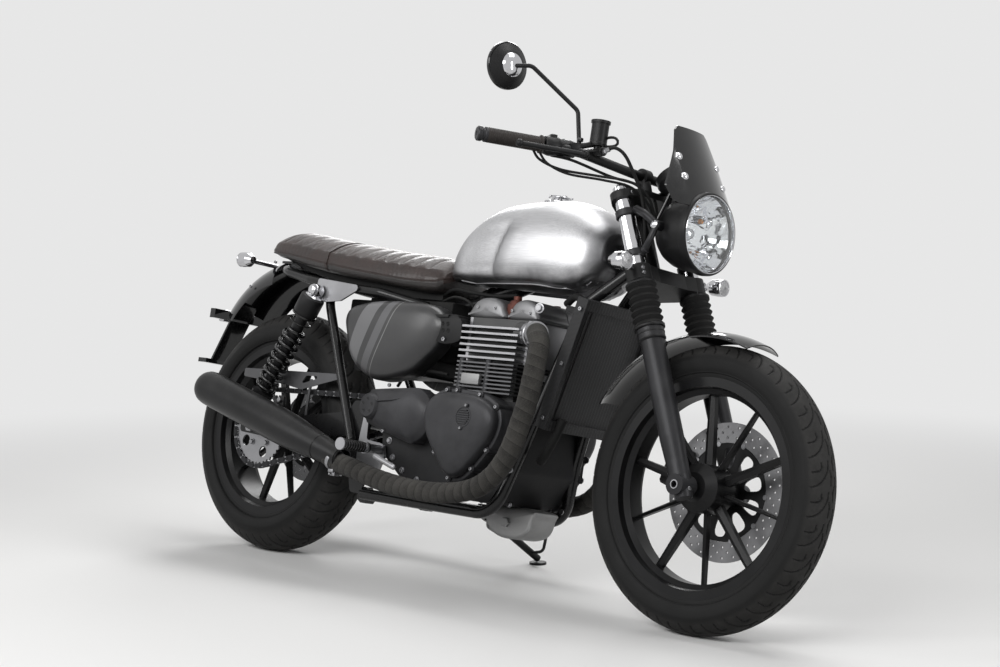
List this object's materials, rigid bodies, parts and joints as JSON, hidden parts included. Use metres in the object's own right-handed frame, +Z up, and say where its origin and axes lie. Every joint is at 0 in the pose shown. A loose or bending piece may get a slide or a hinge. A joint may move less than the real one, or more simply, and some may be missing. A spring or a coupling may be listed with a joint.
{
  "type": "cafe racer motorcycle",
  "caption": "Retro parallel-twin cafe racer leaning on its side stand, with ribbed seat, round lamp, short screen, wrapped exhausts and cast spoked wheels.",
  "frame": {"origin": "centre of the bounding box on the floor that the machine is parked on", "axes": "+X towards the front wheel, +Y to the rider's left, +Z up; the machine leans towards +Y on its side stand"},
  "size_m": [2.1268, 0.8328, 1.3],
  "materials": {
    "gloss_black": "gloss",
    "satin_black": "satin",
    "wheel_black": "satin",
    "tyre_rubber": "matte",
    "disc_steel": "brushed",
    "bright_steel": "satin",
    "chrome_tube": "polished",
    "slider_grey": "satin",
    "gaiter_rubber": "matte",
    "brushed_tank": "brushed",
    "seat_leather": "satin",
    "engine_grey": "satin",
    "head_metal": "machined",
    "cam_grey": "satin",
    "cast_aluminium": "cast",
    "header_wrap": "matte",
    "silencer_black": "matte",
    "cover_grey": "satin",
    "smoked_screen": "gloss",
    "mirror_black": "satin",
    "spring_black": "gloss"
  },
  "bodies": {
    "chassis": {"frame_backbone": "gloss_black", "frame_cradle": "gloss_black", "subframe": "gloss_black", "shock_mounts": "bright_steel", "swingarm": "gloss_black", "rear_axle": "bright_steel", "shock_bodies": "spring_black", "shock_springs": "spring_black", "rear_caliper": "satin_black", "crankcase": "engine_grey", "sump": "cast_aluminium", "clutch_cover": "engine_grey", "sprocket_cover": "engine_grey", "left_covers": "engine_grey", "cylinders": "engine_grey", "cylinder_head": "head_metal", "cam_covers": "cam_grey", "intake": "satin_black", "exhaust_headers": "header_wrap", "silencers": "silencer_black", "radiator": "satin_black", "fuel_tank": "brushed_tank", "fuel_cap": "chrome_tube", "seat": "seat_leather", "side_covers": "cover_grey", "rear_mudguard": "gloss_black", "rear_lamps": "chrome_tube", "chain": "bright_steel", "chain_guard": "cam_grey", "footrests": "bright_steel"},
    "steering": {"fork_yokes": "gloss_black", "fork_tubes": "chrome_tube", "fork_gaiters": "gaiter_rubber", "fork_lowers": "slider_grey", "front_axle": "bright_steel", "front_caliper": "satin_black", "handlebar": "gloss_black", "grips": "gaiter_rubber", "bar_controls": "satin_black", "mirror": "mirror_black", "headlamp": "gloss_black", "flyscreen": "smoked_screen", "instrument": "satin_black", "front_mudguard": "gloss_black", "front_indicators": "chrome_tube"},
    "front_wheel": {"front_rim": "wheel_black", "front_tyre": "tyre_rubber", "front_disc": "disc_steel"},
    "rear_wheel": {"rear_rim": "wheel_black", "rear_tyre": "tyre_rubber", "rear_disc": "disc_steel", "rear_sprocket": "bright_steel"},
    "side_stand": {"side_stand": "satin_black"}
  },
  "joints": [
    {"name": "steering", "type": "hinge", "parent": "chassis", "child": "steering", "pos_m": [0.46435, -0.00982, 0.83178], "axis": [-0.4064, 0.1899, 0.8937], "range_deg": [-32, 32]},
    {"name": "front_wheel_spin", "type": "hinge", "parent": "steering", "child": "front_wheel", "pos_m": [0.74656, -0.12023, 0.31223], "axis": [-0.0001, 0.9781, -0.2079], "continuous": true},
    {"name": "rear_wheel_spin", "type": "hinge", "parent": "chassis", "child": "rear_wheel", "pos_m": [-0.69344, -0.11961, 0.31573], "axis": [-0.0001, 0.9781, -0.2079], "continuous": true},
    {"name": "side_stand_fold", "type": "hinge", "parent": "chassis", "child": "side_stand", "pos_m": [-0.05351, 0.00562, 0.14471], "axis": [0.0003, 0.614, 0.7893], "range_deg": [0, 80]}
  ]
}
